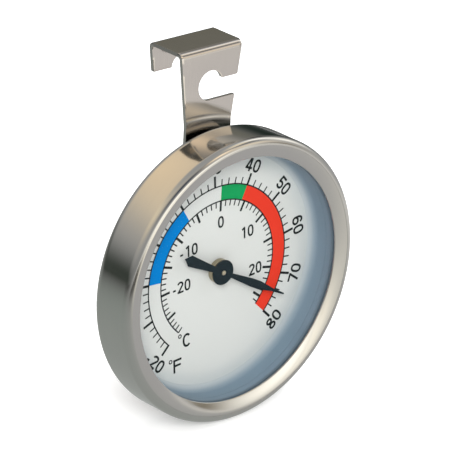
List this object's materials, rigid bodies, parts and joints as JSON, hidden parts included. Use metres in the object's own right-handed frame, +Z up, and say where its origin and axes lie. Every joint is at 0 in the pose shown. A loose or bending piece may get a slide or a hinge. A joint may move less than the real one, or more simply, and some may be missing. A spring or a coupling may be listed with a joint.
{
  "type": "dial thermometer",
  "caption": "Round hang-or-stand dial thermometer: steel case, glazed dial with a bimetal pointer, and a bent steel strap with a hook, a side-open hanging hole and a foot.",
  "frame": {"origin": "middle of the bounding box's bottom: the surface that the case and the strap's foot stand on", "axes": "+Z up along the strap, -Y out of the dial towards the reader, +X to the reader's right"},
  "size_m": [0.064, 0.0234, 0.0806],
  "materials": {
    "case_steel": "polished, fine turned lines",
    "bezel_steel": "polished, fine turned lines",
    "gasket_rubber": "matte",
    "lens_clear": "clear",
    "spacer_grey": "satin",
    "dial_white": "satin enamel",
    "support_plastic": "matte",
    "bearing_brass": "turned",
    "pointer_black": "matte paint",
    "movement_steel": "plain",
    "coil_bimetal": "plain rolled strip",
    "strap_steel": "brushed along its length",
    "rivet_steel": "plain"
  },
  "bodies": {
    "housing": {"rear_case": "case_steel", "bezel_ring": "bezel_steel", "lens_gasket": "gasket_rubber", "lens": "lens_clear", "spacer_ring": "spacer_grey", "dial_plate": "dial_white", "support_ring": "support_plastic", "dial_bush": "bearing_brass", "rear_bush": "bearing_brass", "movement_plate": "movement_steel", "bimetal_coil": "coil_bimetal", "coil_anchor_post": "bearing_brass", "coil_end_screw": "movement_steel", "hanger_strap": "strap_steel", "upper_rivet": "rivet_steel", "lower_rivet": "rivet_steel"},
    "pointer_assembly": {"pointer": "pointer_black", "pointer_boss": "bearing_brass", "arbor": "movement_steel", "coil_collet": "bearing_brass"}
  },
  "joints": [
    {"name": "pointer_turn", "type": "hinge", "parent": "housing", "child": "pointer_assembly", "pos_m": [0, -0.0037, 0.03197], "axis": [0, 1, 0], "range_deg": [-254.9, 16], "stiffness_Nm_per_rad": 0.0002, "deforming": ["bimetal_coil"]}
  ]
}
